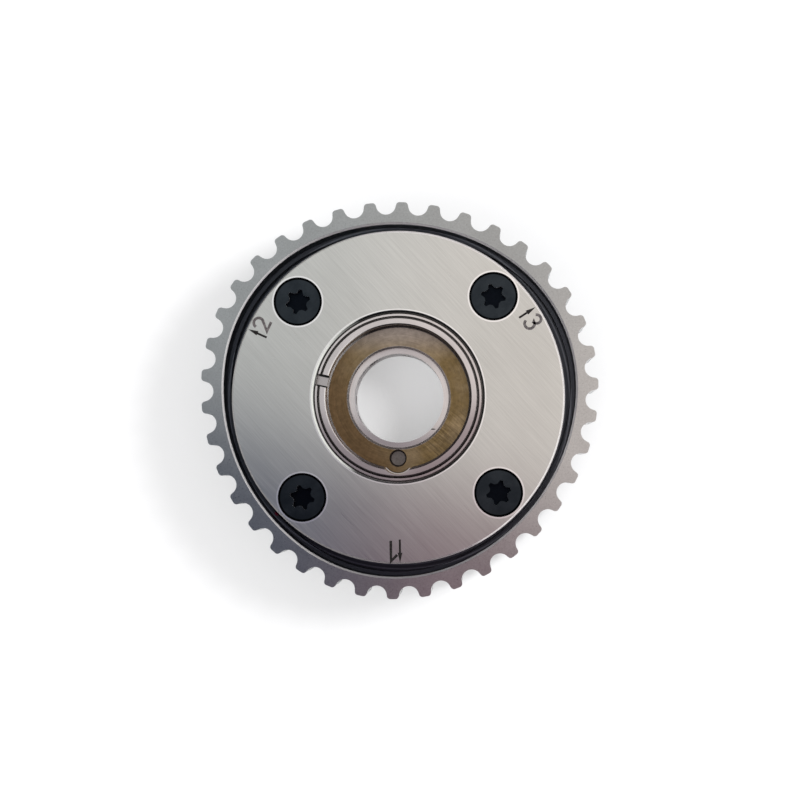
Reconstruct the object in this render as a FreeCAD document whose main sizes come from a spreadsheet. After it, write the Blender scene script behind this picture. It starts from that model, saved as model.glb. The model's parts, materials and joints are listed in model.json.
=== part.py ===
import FreeCAD, Part
import math
import operator
import os
import Sketcher

# A vane-type cam phaser for a toothed timing belt.
# Z runs along the camshaft axis, towards the front cover. The origin lies on that axis, in the
# seat that the end of the camshaft clamps against. Angles are counter-clockwise seen from the front.

Vector = FreeCAD.Vector

# Driving dimensions in millimetres and degrees
SIZES = {
    "belt_pitch": 8.0,
    "tooth_count": 38,
    "pitch_line_offset": 0.69,
    "tooth_depth": 3.0,
    "tooth_land": 1.2,
    "tooth_corner_radius": 0.85,
    "tooth_flank_run": 0.09,
    "first_tooth_angle": 4.1,
    "lobe_height": 0.78,
    "lobe_angle": 23.8,
    "rim_wall": 2.3,
    "rim_width": 22.5,
    "rim_front_drop": 0.2,
    "rim_chamfer": 0.45,
    "groove_ledge_width": 0.9,
    "groove_ledge_depth": 8.0,
    "groove_floor_depth": 12.0,
    "groove_web": 6.0,
    "groove_gap": 0.4,
    "core_wall": 4.4,
    "core_depth": 17.0,
    "chamber_fillet": 1.5,
    "web_angle": 26.0,
    "web_tip_angle": 14.0,
    "web_tip_relief": 2.6,
    "cover_thickness": 5.0,
    "cover_edge_setback": 0.3,
    "cover_edge_chamfer": 0.35,
    "cover_bore_gap": 0.15,
    "cover_bore_chamfer": 0.7,
    "rear_plate_thickness": 5.0,
    "plate_edge_chamfer": 0.5,
    "screw_edge_distance": 7.0,
    "screw_angle": 47.1,
    "screw_radius": 3.0,
    "screw_hole_gap": 0.2,
    "screw_head_radius": 5.7,
    "screw_head_chamfer": 0.4,
    "screw_head_drop": 0.15,
    "screw_head_gap": 0.15,
    "screw_end_gap": 0.6,
    "thread_gap": 0.03,
    "socket_radius": 3.0,
    "socket_waist_radius": 2.15,
    "socket_flat": 0.7,
    "socket_depth": 2.6,
    "seat_depth": 9.0,
    "bore_radius": 10.85,
    "bore_step_width": 1.25,
    "bore_step_depth": 2.0,
    "bore_chamfer": 0.5,
    "recess_radius": 17.5,
    "recess_depth": 5.6,
    "recess_chamfer": 0.25,
    "recess_corner": 0.45,
    "nose_wall": 2.1,
    "nose_chamfer": 0.7,
    "nose_shoulder": 0.45,
    "nose_drop": 0.4,
    "collar_wall": 2.4,
    "collar_gap": 0.06,
    "collar_drop": 0.3,
    "seal_land": 3.8,
    "running_gap": 0.05,
    "side_gap": 0.04,
    "tip_gap": 0.1,
    "vane_angle": 18.0,
    "vane_fillet": 1.2,
    "travel_angle": 25.0,
    "stop_angle": 0.5,
    "slot_width": 3.0,
    "slot_depth": 3.5,
    "slot_angle": 168.5,
    "dowel_radius": 2.1,
    "dowel_edge_distance": 2.83,
    "dowel_angle": 270.0,
    "dowel_drop": 2.0,
    "dowel_reach": 4.0,
    "dowel_chamfer": 0.4,
    "dowel_relief_radius": 4.0,
    "port_radius": 1.25,
    "port_edge_angle": 3.4,
    "port_row_spacing": 4.0,
    "seal_width": 1.9,
    "seal_height": 2.4,
    "seal_groove_width": 2.0,
    "seal_spring_space": 0.8,
    "seal_spring_length": 12.0,
    "seal_spring_width": 1.5,
    "seal_spring_thickness": 0.25,
    "seal_end_gap": 0.05,
    "seat_clearance": 0.02,
    "lock_pin_radius": 3.5,
    "lock_pin_length": 11.4,
    "lock_pin_floor": 4.0,
    "lock_pin_cup_radius": 2.5,
    "lock_pin_chamfer": 0.6,
    "lock_pin_rest": 0.25,
    "lock_bush_wall": 1.9,
    "lock_bush_gap": 0.15,
    "lock_bush_depth": 3.8,
    "spring_wire_radius": 0.35,
    "spring_coil_gap": 0.2,
    "spring_turns": 4,
    "spring_seat_thickness": 1.6,
    "spring_seat_vent_radius": 0.9,
}

WEB_COUNT = 4
QUARTER_TURN = 360.0 / WEB_COUNT
LOBES = 3
OVERCUT = 2.0


class Size:
    """A number, together with the sheet expression that gives it."""

    def __init__(self, value, text):
        self.value = value
        self.text = text

    def __add__(self, other):
        return combine(operator.add, "+", self, other)

    def __radd__(self, other):
        return combine(operator.add, "+", other, self)

    def __sub__(self, other):
        return combine(operator.sub, "-", self, other)

    def __rsub__(self, other):
        return combine(operator.sub, "-", other, self)

    def __mul__(self, other):
        return combine(operator.mul, "*", self, other)

    def __rmul__(self, other):
        return combine(operator.mul, "*", other, self)

    def __truediv__(self, other):
        return combine(operator.truediv, "/", self, other)

    def __neg__(self):
        return combine(operator.mul, "*", -1.0, self)


def as_size(item):
    if isinstance(item, Size):
        return item
    return Size(float(item), repr(float(item)))


def combine(action, sign, first, second):
    first = as_size(first)
    second = as_size(second)
    value = action(first.value, second.value)
    return Size(value, "(" + first.text + " " + sign + " " + second.text + ")")


def cos_of(angle):
    angle = as_size(angle)
    return Size(math.cos(math.radians(angle.value)), "cos(" + angle.text + " * 1deg)")


def sin_of(angle):
    angle = as_size(angle)
    return Size(math.sin(math.radians(angle.value)), "sin(" + angle.text + " * 1deg)")


def fill_sheet(doc):
    """Put every driving dimension in the sheet, and return them as Size values."""
    sheet = doc.addObject("Spreadsheet::Sheet", "Sizes")
    sizes = {}
    for row, (alias, value) in enumerate(SIZES.items(), start=1):
        cell = "A" + str(row)
        sheet.set(cell, str(value))
        sheet.setAlias(cell, alias)
        sizes[alias] = Size(float(value), "Sizes." + alias)
    doc.recompute()
    return sizes


DOC = FreeCAD.newDocument("cam_phaser")
S = fill_sheet(DOC)

# Levels along the axis
REAR_FACE = -S["seat_depth"]
CORE_BOTTOM = REAR_FACE + S["rear_plate_thickness"]
CORE_TOP = CORE_BOTTOM + S["core_depth"]
FRONT_FACE = CORE_TOP + S["cover_thickness"]
RIM_FRONT = FRONT_FACE - S["rim_front_drop"]
RIM_BACK = RIM_FRONT - S["rim_width"]
LEDGE_LEVEL = RIM_FRONT - S["groove_ledge_depth"]
FLOOR_LEVEL = RIM_FRONT - S["groove_floor_depth"]
REAR_FLOOR_LEVEL = FLOOR_LEVEL - S["groove_web"]
ROTOR_BOTTOM = CORE_BOTTOM + S["side_gap"]
ROTOR_TOP = CORE_TOP - S["side_gap"]
NOSE_TOP = FRONT_FACE - S["nose_drop"]
RECESS_FLOOR = NOSE_TOP - S["recess_depth"]
COLLAR_END = REAR_FACE + S["collar_drop"]

# Radii of the wheel, from the belt inwards
TIP_RADIUS = S["belt_pitch"] * S["tooth_count"] / (2.0 * math.pi) - S["pitch_line_offset"]
ROOT_RADIUS = TIP_RADIUS - S["tooth_depth"]
GROOVE_RADIUS = ROOT_RADIUS - S["rim_wall"]
LEDGE_RADIUS = GROOVE_RADIUS - S["groove_ledge_width"]
CORE_RADIUS = LEDGE_RADIUS - S["lobe_height"] - S["groove_gap"]
PLATE_RADIUS = CORE_RADIUS - S["cover_edge_setback"]
CHAMBER_RADIUS = CORE_RADIUS - S["core_wall"]
SCREW_CIRCLE = CORE_RADIUS - S["screw_edge_distance"]
SCREW_HOLE_RADIUS = S["screw_radius"] + S["screw_hole_gap"]

# Radii of the rotor, from the bore outwards
STEP_RADIUS = S["bore_radius"] + S["bore_step_width"]
NOSE_RADIUS = S["recess_radius"] + S["nose_wall"]
COLLAR_RADIUS = S["recess_radius"] + S["collar_wall"]
SHOULDER_RADIUS = NOSE_RADIUS + S["nose_shoulder"]
COVER_BORE_RADIUS = SHOULDER_RADIUS + S["cover_bore_gap"]
REAR_BORE_RADIUS = COLLAR_RADIUS + S["collar_gap"]
HUB_RADIUS = COVER_BORE_RADIUS + S["seal_land"]
WEB_TIP_RADIUS = HUB_RADIUS + S["running_gap"]
VANE_TIP_RADIUS = CHAMBER_RADIUS - S["tip_gap"]
VANE_GROOVE_FLOOR = VANE_TIP_RADIUS - S["seal_height"] - S["seal_spring_space"]
WEB_GROOVE_FLOOR = WEB_TIP_RADIUS + S["seal_height"] + S["seal_spring_space"]
DOWEL_CIRCLE = S["recess_radius"] - S["dowel_edge_distance"]
LOCK_CIRCLE = (HUB_RADIUS + VANE_GROOVE_FLOOR) / 2.0
LOCK_BORE_RADIUS = S["lock_pin_radius"] + S["running_gap"]

# Angles of the vanes, at rest against the stop
CHAMBER_ANGLE = QUARTER_TURN - S["web_angle"]
WIDE_VANE_ANGLE = CHAMBER_ANGLE - S["travel_angle"] - 2.0 * S["stop_angle"]
CHAMBER_CENTRE = S["screw_angle"] + QUARTER_TURN / 2.0
LOCK_ANGLE = CHAMBER_CENTRE + S["travel_angle"] / 2.0


def polar(radius, angle):
    return (radius * cos_of(angle), radius * sin_of(angle))


def bind(target, prop, size):
    target.setExpression(prop, as_size(size).text)


def place(target, x=0.0, y=0.0, z=0.0, angle=None):
    """Move an object by bound distances, and turn it about Z by a bound angle."""
    turn = 0.0 if angle is None else as_size(angle).value
    base = Vector(as_size(x).value, as_size(y).value, as_size(z).value)
    target.Placement = FreeCAD.Placement(base, FreeCAD.Rotation(Vector(0, 0, 1), turn))
    for name, size in (("x", x), ("y", y), ("z", z)):
        if isinstance(size, Size):
            bind(target, "Placement.Base." + name, size)
    if isinstance(angle, Size):
        bind(target, "Placement.Rotation.Angle", angle)
    return target


# Part primitives and booleans


def cylinder(name, radius, bottom, top, x=0.0, y=0.0):
    solid = DOC.addObject("Part::Cylinder", name)
    bind(solid, "Radius", radius)
    bind(solid, "Height", as_size(top) - bottom)
    return place(solid, x, y, bottom)


def bar(name, low, high, width, bottom, top):
    """A bar along X, centred on the X axis."""
    solid = DOC.addObject("Part::Box", name)
    bind(solid, "Length", as_size(high) - low)
    bind(solid, "Width", width)
    bind(solid, "Height", as_size(top) - bottom)
    return place(solid, low, as_size(width) / -2.0, bottom)


def turned(name, source, angle):
    """A copy of an object, turned about the axis."""
    link = DOC.addObject("Part::Compound", name)
    link.Links = [source]
    return place(link, angle=angle)


def fuse(name, solids):
    result = DOC.addObject("Part::MultiFuse", name)
    result.Shapes = solids
    return result


def common(name, solids):
    result = DOC.addObject("Part::MultiCommon", name)
    result.Shapes = solids
    return result


def cut(name, base, tool):
    result = DOC.addObject("Part::Cut", name)
    result.Base = base
    result.Tool = tool
    return result


# Sketches and their features


def new_body(name):
    return DOC.addObject("PartDesign::Body", name)


def new_sketch(body, name, role, level=None):
    sketch = body.newObject("Sketcher::SketchObject", name)
    plane = next(item for item in body.Origin.OriginFeatures if item.Role == role)
    sketch.AttachmentSupport = [(plane, "")]
    sketch.MapMode = "FlatFace"
    if level is not None:
        offset = Vector(0, 0, as_size(level).value)
        sketch.AttachmentOffset = FreeCAD.Placement(offset, FreeCAD.Rotation())
        bind(sketch, "AttachmentOffset.Base.z", level)
    return sketch


def pin_point(sketch, geometry, vertex, point):
    """Hold a vertex at bound distances from the sketch's origin."""
    for kind, size in zip(("DistanceX", "DistanceY"), point):
        size = as_size(size)
        index = sketch.addConstraint(
            Sketcher.Constraint(kind, -1, 1, geometry, vertex, size.value))
        bind(sketch, "Constraints[" + str(index) + "]", size)


def as_vector(point):
    return Vector(as_size(point[0]).value, as_size(point[1]).value, 0)


def draw_polygon(sketch, points):
    first = sketch.GeometryCount
    count = len(points)
    for index in range(count):
        start = as_vector(points[index])
        end = as_vector(points[(index + 1) % count])
        sketch.addGeometry(Part.LineSegment(start, end), False)
    for index in range(count):
        following = first + (index + 1) % count
        sketch.addConstraint(
            Sketcher.Constraint("Coincident", first + index, 2, following, 1))
        pin_point(sketch, first + index, 1, points[index])


def draw_circle(sketch, radius, centre=(0.0, 0.0)):
    radius = as_size(radius)
    circle = Part.Circle(as_vector(centre), Vector(0, 0, 1), radius.value)
    index = sketch.addGeometry(circle, False)
    pin_point(sketch, index, 3, centre)
    constraint = sketch.addConstraint(Sketcher.Constraint("Radius", index, radius.value))
    bind(sketch, "Constraints[" + str(constraint) + "]", radius)


def revolve(body, name, points):
    """Turn a closed profile of (radius, level) points about the axis."""
    sketch = new_sketch(body, name + "_profile", "XZ_Plane")
    draw_polygon(sketch, points)
    feature = body.newObject("PartDesign::Revolution", name)
    feature.Profile = sketch
    feature.ReferenceAxis = (sketch, ["V_Axis"])
    feature.Angle = 360
    return feature


def bore_at(body, name, distance, points):
    """Cut a stepped hole whose axis stands on the X axis, from (radius, level) points."""
    sketch = new_sketch(body, name + "_profile", "XZ_Plane")
    draw_polygon(sketch, [(distance + radius, level) for radius, level in points])
    low = (as_size(distance), points[0][1])
    high = (as_size(distance), points[-1][1])
    line = sketch.addGeometry(Part.LineSegment(as_vector(low), as_vector(high)), True)
    pin_point(sketch, line, 1, low)
    pin_point(sketch, line, 2, high)
    feature = body.newObject("PartDesign::Groove", name)
    feature.Profile = sketch
    feature.ReferenceAxis = (sketch, ["Axis0"])
    feature.Angle = 360
    return feature


def pad(body, name, sketch, length):
    feature = body.newObject("PartDesign::Pad", name)
    feature.Profile = sketch
    bind(feature, "Length", length)
    return feature


def pocket(body, name, sketch, depth):
    """Cut downwards from the sketch."""
    feature = body.newObject("PartDesign::Pocket", name)
    feature.Profile = sketch
    bind(feature, "Length", depth)
    return feature


def repeat(body, name, feature, count, angle=360.0):
    """Repeat a feature about the axis, over a full turn or over the angle between the ends."""
    pattern = body.newObject("PartDesign::PolarPattern", name)
    pattern.Originals = [feature]
    pattern.Axis = (feature.Profile[0], ["N_Axis"])
    pattern.Angle = angle
    pattern.Occurrences = count
    body.Tip = pattern
    return pattern


def repeat_upright(body, name, feature, count):
    """Repeat a feature whose sketch stands upright, about the sketch's vertical axis."""
    pattern = body.newObject("PartDesign::PolarPattern", name)
    pattern.Originals = [feature]
    pattern.Axis = (feature.Profile[0], ["V_Axis"])
    pattern.Angle = 360
    pattern.Occurrences = count
    body.Tip = pattern
    return pattern


# The belt teeth, on a three-lobed line


class LobedFrame:
    """A point of the line through the tooth tips, with its outward normal and tangent."""

    def __init__(self, even_angle):
        lobe = S["lobe_height"].value
        mean = TIP_RADIUS.value
        phase = LOBES * math.radians(even_angle - S["lobe_angle"].value)
        angle = math.radians(even_angle) - lobe / (LOBES * mean) * math.sin(phase)
        phase = LOBES * (angle - math.radians(S["lobe_angle"].value))
        radius = mean + lobe * math.cos(phase)
        slope = -LOBES * lobe * math.sin(phase)
        outward = Vector(math.cos(angle), math.sin(angle), 0)
        along = Vector(-math.sin(angle), math.cos(angle), 0)
        self.point = outward * radius
        self.tangent = (along * radius + outward * slope).normalize()
        self.normal = Vector(self.tangent.y, -self.tangent.x, 0)


def here_at(angle):
    """The direction at an angle in radians."""
    return Vector(math.cos(angle), math.sin(angle), 0)


def flank_normal(corner, gullet, sum_of_radii, normal):
    """The normal of the line that touches a tooth's corner arc and the gullet's arc."""
    towards = gullet - corner
    share = sum_of_radii / towards.Length
    towards.normalize()
    outward = (normal - towards * normal.dot(towards)).normalize()
    return towards * share + outward * math.sqrt(1.0 - share * share)


def arc(centre, radius, start, middle, end):
    """An arc about a centre, from its three directions."""
    points = [centre + direction * radius for direction in (start, middle, end)]
    return Part.Arc(*points).toShape()


def tooth_wire():
    """The outline of the belt teeth."""
    count = int(round(S["tooth_count"].value))
    pitch = 360.0 / count
    half_land = S["tooth_land"].value / 2.0
    small = S["tooth_corner_radius"].value
    half_spacing = math.pi * TIP_RADIUS.value / count
    large = half_spacing - half_land - small - S["tooth_flank_run"].value
    centre_depth = S["tooth_depth"].value - large
    edges = []
    for index in range(count):
        even_angle = S["first_tooth_angle"].value + index * pitch
        tooth = LobedFrame(even_angle)
        between = LobedFrame(even_angle + pitch / 2.0)
        following = LobedFrame(even_angle + pitch)
        gullet = between.point - between.normal * centre_depth
        leaving = tooth.point - tooth.normal * small + tooth.tangent * half_land
        arriving = following.point - following.normal * small
        arriving = arriving - following.tangent * half_land
        down_flank = flank_normal(leaving, gullet, small + large, tooth.normal)
        up_flank = flank_normal(arriving, gullet, small + large, following.normal)
        land_start = leaving - tooth.tangent * (2.0 * half_land) + tooth.normal * small
        land_end = leaving + tooth.normal * small
        shoulder = (tooth.normal + down_flank).normalize()
        far_shoulder = (following.normal + up_flank).normalize()
        down_end = leaving + down_flank * small
        up_end = arriving + up_flank * small
        edges.append(Part.LineSegment(land_start, land_end).toShape())
        edges.append(arc(leaving, small, tooth.normal, shoulder, down_flank))
        edges.append(Part.LineSegment(down_end, gullet - down_flank * large).toShape())
        edges.append(arc(gullet, large, down_flank * -1, between.normal * -1, up_flank * -1))
        edges.append(Part.LineSegment(gullet - up_flank * large, up_end).toShape())
        edges.append(arc(arriving, small, up_flank, far_shoulder, following.normal))
    return Part.Wire(edges)


def extruded(name, wire, bottom, top):
    """A solid raised from a flat outline, between two levels."""
    outline = DOC.addObject("Part::Feature", name + "_outline")
    outline.Shape = wire
    place(outline, z=bottom)
    solid = DOC.addObject("Part::Extrusion", name)
    solid.Base = outline
    solid.DirMode = "Custom"
    solid.Dir = Vector(0, 0, 1)
    solid.Solid = True
    bind(solid, "LengthFwd", as_size(top) - bottom)
    return solid


def lobed_wire(mean_radius):
    """A three-lobed line about the axis, in step with the teeth, of six arcs in tangency."""
    lobe = S["lobe_height"].value
    offset = 2.0 * lobe / (2.0 - math.sqrt(LOBES))
    turn = math.pi / LOBES
    edges = []
    for index in range(2 * LOBES):
        middle = math.radians(S["lobe_angle"].value) + index * turn
        outward = 1.0 if index % 2 == 0 else -1.0
        radius = as_size(mean_radius).value + outward * (lobe - offset)
        centre = here_at(middle) * (outward * offset)
        before = here_at(middle - turn / 2.0)
        after = here_at(middle + turn / 2.0)
        edges.append(arc(centre, radius, before, here_at(middle), after))
    return Part.Wire(edges)


def lobed_prism(name, mean_radius, bottom, top):
    return extruded(name, lobed_wire(mean_radius), bottom, top)


def lobed_outline(name, mean_radius, level):
    outline = DOC.addObject("Part::Feature", name)
    outline.Shape = lobed_wire(mean_radius)
    return place(outline, z=level)


def rim_bevel():
    """A tapered plug that chamfers the front edge of the groove."""
    chamfer = S["rim_chamfer"]
    low = lobed_outline("bevel_low", GROOVE_RADIUS - chamfer, RIM_FRONT - 2.0 * chamfer)
    high = lobed_outline("bevel_high", GROOVE_RADIUS + 2.0 * chamfer, RIM_FRONT + chamfer)
    bevel = DOC.addObject("Part::Loft", "rim_bevel")
    bevel.Sections = [low, high]
    bevel.Solid = True
    bevel.Ruled = True
    return bevel


# Pieces of the housing


def groove_space():
    """Everything that is open between the rim and the housing, front and rear."""
    above = RIM_FRONT + OVERCUT
    below = RIM_BACK - OVERCUT
    front = lobed_prism("front_groove", GROOVE_RADIUS, LEDGE_LEVEL, above)
    deep = lobed_prism("front_groove_floor", LEDGE_RADIUS, FLOOR_LEVEL, LEDGE_LEVEL + OVERCUT)
    rear = lobed_prism("rear_groove", GROOVE_RADIUS, below, REAR_FLOOR_LEVEL)
    core = cylinder("core_outside", CORE_RADIUS, CORE_BOTTOM, CORE_TOP)
    space = fuse("groove_prisms", [front, deep, rear, rim_bevel()])
    return cut("groove_space", space, core)


def web_bars():
    """The four webs between the chambers, with relieved corners at their tips."""
    body = new_body("web_bars")
    half = S["web_angle"] / 2.0
    half_tip = S["web_tip_angle"] / 2.0
    inner = WEB_TIP_RADIUS - OVERCUT
    shoulder = WEB_TIP_RADIUS + S["web_tip_relief"]
    outer = CHAMBER_RADIUS + OVERCUT
    points = [
        polar(inner, -half_tip),
        polar(WEB_TIP_RADIUS, -half_tip),
        polar(shoulder, -half),
        polar(outer, -half),
        polar(outer, half),
        polar(shoulder, half),
        polar(WEB_TIP_RADIUS, half_tip),
        polar(inner, half_tip),
    ]
    sketch = new_sketch(body, "web_outline", "XY_Plane", CORE_BOTTOM)
    draw_polygon(sketch, points)
    web = pad(body, "web", sketch, S["core_depth"])
    repeat(body, "webs", web, WEB_COUNT)
    return place(body, angle=S["screw_angle"])


def web_cutters():
    """Screw holes and seal grooves in the webs."""
    low = CORE_BOTTOM - OVERCUT
    high = CORE_TOP + OVERCUT
    cutters = []
    for index in range(WEB_COUNT):
        angle = S["screw_angle"] + index * QUARTER_TURN
        number = str(index + 1)
        x, y = polar(SCREW_CIRCLE, angle)
        cutters.append(cylinder("web_hole_" + number, SCREW_HOLE_RADIUS, low, high, x, y))
        inner = WEB_TIP_RADIUS - OVERCUT
        width = S["seal_groove_width"]
        groove = bar("web_groove_bar_" + number, inner, WEB_GROOVE_FLOOR, width, low, high)
        cutters.append(turned("web_groove_" + number, groove, angle))
    return cutters


def corner_edges(shape, radius):
    """Numbers of the upright edges in the corners of the chambers."""
    numbers = []
    for number, edge in enumerate(shape.Edges, start=1):
        start, end = edge.firstVertex().Point, edge.lastVertex().Point
        upright = math.hypot(start.x - end.x, start.y - end.y) < 0.001
        at_wall = abs(math.hypot(start.x, start.y) - radius) < 0.01
        if upright and at_wall and len(edge.Vertexes) == 2:
            numbers.append(number)
    return numbers


def build_toothed_wheel():
    wheel_blank = extruded("wheel_blank", tooth_wire(), RIM_BACK, RIM_FRONT)
    outside = cut("wheel_outside", wheel_blank, groove_space())
    low = CORE_BOTTOM - OVERCUT
    high = CORE_TOP + OVERCUT
    chambers = cut("chambers", cylinder("chamber_bore", CHAMBER_RADIUS, low, high), web_bars())
    tip_bore = cylinder("web_tip_bore", WEB_TIP_RADIUS, low, high)
    opening = fuse("wheel_opening", [chambers, tip_bore] + web_cutters())
    hollow = cut("wheel_hollow", outside, opening)
    DOC.recompute()
    wheel = DOC.addObject("Part::Fillet", "toothed_wheel")
    wheel.Base = hollow
    fillet = S["chamber_fillet"].value
    edges = corner_edges(hollow.Shape, CHAMBER_RADIUS.value)
    wheel.Edges = [(number, fillet, fillet) for number in edges]
    return wheel


def build_cover_plate():
    body = new_body("cover_plate")
    edge = S["cover_edge_chamfer"]
    bore_edge = S["cover_bore_chamfer"]
    revolve(body, "cover_disc", [
        (COVER_BORE_RADIUS, CORE_TOP),
        (PLATE_RADIUS, CORE_TOP),
        (PLATE_RADIUS, FRONT_FACE - edge),
        (PLATE_RADIUS - edge, FRONT_FACE),
        (COVER_BORE_RADIUS + bore_edge, FRONT_FACE),
        (COVER_BORE_RADIUS, FRONT_FACE - bore_edge),
    ])
    mouth = S["screw_head_radius"] + S["screw_head_gap"]
    cone_top = FRONT_FACE - S["screw_head_drop"] - S["screw_head_chamfer"]
    cone_bottom = cone_top - (mouth - SCREW_HOLE_RADIUS)
    hole = bore_at(body, "countersink", SCREW_CIRCLE, [
        (0.0, CORE_TOP - OVERCUT),
        (SCREW_HOLE_RADIUS, CORE_TOP - OVERCUT),
        (SCREW_HOLE_RADIUS, cone_bottom),
        (mouth, cone_top),
        (mouth, FRONT_FACE + OVERCUT),
        (0.0, FRONT_FACE + OVERCUT),
    ])
    repeat_upright(body, "countersinks", hole, WEB_COUNT)
    return place(body, angle=S["screw_angle"])


def build_rear_plate():
    body = new_body("rear_plate")
    edge = S["plate_edge_chamfer"]
    revolve(body, "rear_disc", [
        (REAR_BORE_RADIUS, CORE_BOTTOM),
        (REAR_BORE_RADIUS, REAR_FACE),
        (PLATE_RADIUS - edge, REAR_FACE),
        (PLATE_RADIUS, REAR_FACE + edge),
        (PLATE_RADIUS, CORE_BOTTOM),
    ])
    outline = new_sketch(body, "screw_hole_outline", "XY_Plane", CORE_BOTTOM)
    draw_circle(outline, S["screw_radius"] + S["thread_gap"], (SCREW_CIRCLE, 0.0))
    hole = pocket(body, "screw_hole", outline, S["rear_plate_thickness"])
    repeat(body, "screw_holes", hole, WEB_COUNT)
    sketch = new_sketch(body, "bush_seat_outline", "XY_Plane", CORE_BOTTOM)
    centre = polar(LOCK_CIRCLE, LOCK_ANGLE - S["screw_angle"])
    draw_circle(sketch, lock_bush_radius(), centre)
    body.Tip = pocket(body, "bush_seat", sketch, S["lock_bush_depth"])
    return place(body, angle=S["screw_angle"])


def socket_wire():
    """A six-lobe socket: each lobe and each waist between two lobes has a short flat."""
    lobes = 6
    half_flat = S["socket_flat"].value / 2.0
    corners = []
    for index in range(2 * lobes):
        here = here_at(math.pi * index / lobes)
        across = Vector(-here.y, here.x, 0) * half_flat
        size = S["socket_radius"] if index % 2 == 0 else S["socket_waist_radius"]
        corners.append(here * size.value - across)
        corners.append(here * size.value + across)
    return Part.makePolygon(corners + corners[:1])


def build_screw(number):
    """A countersunk screw, its axis on Z and the top of its head at level 0."""
    name = "cover_screw_" + str(number)
    angle = S["screw_angle"] + (number - 1) * QUARTER_TURN
    body = new_body(name + "_blank")
    top = FRONT_FACE - S["screw_head_drop"]
    length = top - REAR_FACE - S["screw_end_gap"]
    chamfer = S["screw_head_chamfer"]
    radius = S["screw_radius"]
    head = S["screw_head_radius"]
    revolve(body, name + "_shape", [
        (0.0, 0.0),
        (head - chamfer, 0.0),
        (head, -chamfer),
        (radius, -chamfer - (head - radius)),
        (radius, -length),
        (0.0, -length),
    ])
    outline = DOC.addObject("Part::Feature", name + "_socket_outline")
    outline.Shape = socket_wire()
    socket = DOC.addObject("Part::Extrusion", name + "_socket")
    socket.Base = outline
    socket.DirMode = "Custom"
    socket.Dir = Vector(0, 0, 1)
    socket.Solid = True
    bind(socket, "LengthFwd", OVERCUT)
    bind(socket, "LengthRev", S["socket_depth"])
    screw = cut(name, body, socket)
    x, y = polar(SCREW_CIRCLE, angle)
    return place(screw, x, y, top, angle)


def leaf_spring(name, low, high, angle):
    """An arched strip between a groove's floor and its seal, with its ends on the low side."""
    thickness = S["seal_spring_thickness"]
    half_length = S["seal_spring_length"] / 2.0
    rise = high - low - 2.0 * S["seat_clearance"] - thickness
    inner = (half_length * half_length + rise * rise) / (2.0 * rise)
    middle = (CORE_BOTTOM + CORE_TOP) / 2.0
    width = S["seal_spring_width"]
    centre = high - S["seat_clearance"] - thickness - inner
    rings = []
    for role, radius, extra in (("outside", inner + thickness, 0.0), ("inside", inner, OVERCUT)):
        ring = DOC.addObject("Part::Cylinder", name + "_" + role)
        span = width + 2.0 * extra
        bind(ring, "Radius", radius)
        bind(ring, "Height", span)
        across = FreeCAD.Rotation(Vector(1, 0, 0), -90)
        ring.Placement = FreeCAD.Placement(Vector(), across)
        bind(ring, "Placement.Base.x", centre)
        bind(ring, "Placement.Base.y", span / -2.0)
        bind(ring, "Placement.Base.z", middle)
        rings.append(ring)
    hoop = cut(name + "_hoop", rings[0], rings[1])
    bottom = middle - half_length
    top = middle + half_length
    window = bar(name + "_window", low, high, width + OVERCUT, bottom, top)
    return place(common(name, [hoop, window]), angle=angle)


def build_web_seal(number):
    """A bar in a web's groove, hollowed to run on the rotor's hub, and its leaf spring."""
    angle = S["screw_angle"] + (number - 1) * QUARTER_TURN
    name = "web_seal_" + str(number)
    low = CORE_BOTTOM + S["seal_end_gap"]
    high = CORE_TOP - S["seal_end_gap"]
    back = WEB_TIP_RADIUS + S["seal_height"]
    blank = bar(name + "_bar", HUB_RADIUS - OVERCUT, back, S["seal_width"], low, high)
    hub = cylinder(name + "_hub", WEB_TIP_RADIUS, low - OVERCUT, high + OVERCUT)
    seal = place(cut(name, blank, hub), angle=angle)
    strip = "web_seal_spring_" + str(number)
    spring = leaf_spring(strip, back, WEB_GROOVE_FLOOR, angle)
    return [seal, spring]


def lock_bush_radius():
    return S["lock_pin_radius"] + S["lock_bush_gap"] + S["lock_bush_wall"]


def build_lock_bush():
    body = new_body("lock_bush")
    inner = S["lock_pin_radius"] + S["lock_bush_gap"]
    outer = lock_bush_radius()
    bottom = CORE_BOTTOM - S["lock_bush_depth"]
    revolve(body, "lock_bush_shape", [
        (inner, bottom),
        (outer, bottom),
        (outer, CORE_BOTTOM),
        (inner, CORE_BOTTOM),
    ])
    x, y = polar(LOCK_CIRCLE, LOCK_ANGLE)
    return place(body, x, y)


# Pieces of the rotor, built with the wide vane on the X axis and turned to their rest


def hub_profile():
    """The rotor's hub, as (radius, level) points from the camshaft side to the front."""
    edge = S["bore_chamfer"]
    recess = S["recess_radius"]
    lip = S["recess_chamfer"]
    corner = S["recess_corner"]
    step_level = RECESS_FLOOR - S["bore_step_depth"]
    nose_edge = S["nose_chamfer"]
    return [
        (recess, COLLAR_END),
        (recess, 0.0),
        (S["bore_radius"], 0.0),
        (S["bore_radius"], step_level),
        (STEP_RADIUS, step_level),
        (STEP_RADIUS, RECESS_FLOOR - edge),
        (STEP_RADIUS + edge, RECESS_FLOOR),
        (recess - corner, RECESS_FLOOR),
        (recess, RECESS_FLOOR + corner),
        (recess, NOSE_TOP - lip),
        (recess + lip, NOSE_TOP),
        (NOSE_RADIUS - nose_edge, NOSE_TOP),
        (NOSE_RADIUS, NOSE_TOP - nose_edge),
        (SHOULDER_RADIUS, NOSE_TOP - nose_edge),
        (SHOULDER_RADIUS, ROTOR_TOP),
        (HUB_RADIUS, ROTOR_TOP),
        (HUB_RADIUS, ROTOR_BOTTOM),
        (COLLAR_RADIUS, ROTOR_BOTTOM),
        (COLLAR_RADIUS, COLLAR_END),
    ]


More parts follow.
